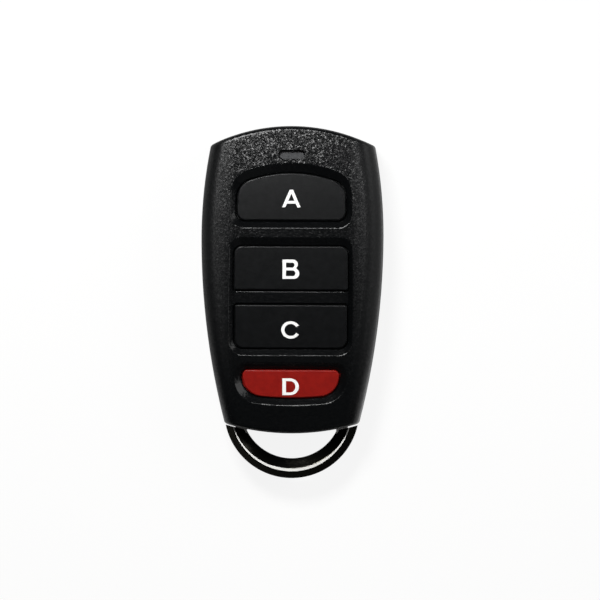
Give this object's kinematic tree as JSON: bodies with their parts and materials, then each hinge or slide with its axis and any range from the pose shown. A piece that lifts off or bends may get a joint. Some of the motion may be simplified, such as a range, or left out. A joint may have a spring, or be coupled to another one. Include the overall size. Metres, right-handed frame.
{
  "type": "remote key fob",
  "caption": "Radio remote with black and red push keys in sunk pockets, a light window and a half-round metal loop for a key ring, its shells closed by screws from the rear.",
  "frame": {"origin": "centre of the outline seen from the front, metal loop included, at the flat rear face", "axes": "+Z out of the front with the keys, +Y towards the light window, +X to the right seen from the front"},
  "size_m": [0.035, 0.0682, 0.0123],
  "materials": {
    "casing_abs": "spark-eroded grain, black",
    "plated_zinc": "dark nickel plate, polished",
    "screw_steel": "zinc plated",
    "smoked_acrylic": "smoked, clear",
    "led_epoxy": "cast",
    "board_laminate": "green solder mask",
    "board_copper": "printed under mask",
    "cell_steel": "nickel plated",
    "cell_gasket": "moulded",
    "spring_bronze": "rolled spring strip",
    "chip_epoxy": "moulded",
    "tinned_leads": "tinned",
    "capacitor_ceramic": "fired",
    "resistor_film": "glazed",
    "switch_nylon": "moulded",
    "switch_steel": "stamped",
    "plunger_nylon": "moulded",
    "key_black": "satin",
    "key_red": "satin"
  },
  "bodies": {
    "casing": {"front_shell": "casing_abs", "rear_shell": "casing_abs", "keyring_loop": "plated_zinc", "shell_screws": "screw_steel", "light_pipe": "smoked_acrylic", "indicator_light": "led_epoxy", "circuit_board": "board_laminate", "aerial_trace": "board_copper", "battery_can": "cell_steel", "battery_cap": "cell_steel", "battery_seal": "cell_gasket", "battery_clip": "spring_bronze", "battery_contact": "spring_bronze", "encoder_chip": "chip_epoxy", "encoder_chip_leads": "tinned_leads", "radio_transistor": "chip_epoxy", "radio_transistor_leads": "tinned_leads", "resonator": "tinned_leads", "chip_capacitors": "capacitor_ceramic", "chip_resistors": "resistor_film", "switch_a_base": "switch_nylon", "switch_a_cover": "switch_steel", "switch_a_dome": "switch_steel", "switch_b_base": "switch_nylon", "switch_b_cover": "switch_steel", "switch_b_dome": "switch_steel", "switch_c_base": "switch_nylon", "switch_c_cover": "switch_steel", "switch_c_dome": "switch_steel", "switch_d_base": "switch_nylon", "switch_d_cover": "switch_steel", "switch_d_dome": "switch_steel"},
    "pressed_a": {"key_a": "key_black", "switch_a_plunger": "plunger_nylon"},
    "pressed_b": {"key_b": "key_black", "switch_b_plunger": "plunger_nylon"},
    "pressed_c": {"key_c": "key_black", "switch_c_plunger": "plunger_nylon"},
    "pressed_d": {"key_d": "key_red", "switch_d_plunger": "plunger_nylon"}
  },
  "joints": [
    {"name": "key_a_press", "type": "slide", "parent": "casing", "child": "pressed_a", "axis": [0, 0, -1], "range_m": [0, 0.0003], "stiffness_N_per_m": 4500, "springref_m": -0.00005, "deforming": ["switch_a_dome"]},
    {"name": "key_b_press", "type": "slide", "parent": "casing", "child": "pressed_b", "axis": [0, 0, -1], "range_m": [0, 0.0003], "stiffness_N_per_m": 4500, "springref_m": -0.00005, "deforming": ["switch_b_dome"]},
    {"name": "key_c_press", "type": "slide", "parent": "casing", "child": "pressed_c", "axis": [0, 0, -1], "range_m": [0, 0.0003], "stiffness_N_per_m": 4500, "springref_m": -0.00005, "deforming": ["switch_c_dome"]},
    {"name": "key_d_press", "type": "slide", "parent": "casing", "child": "pressed_d", "axis": [0, 0, -1], "range_m": [0, 0.0003], "stiffness_N_per_m": 4500, "springref_m": -0.00005, "deforming": ["switch_d_dome"]}
  ]
}
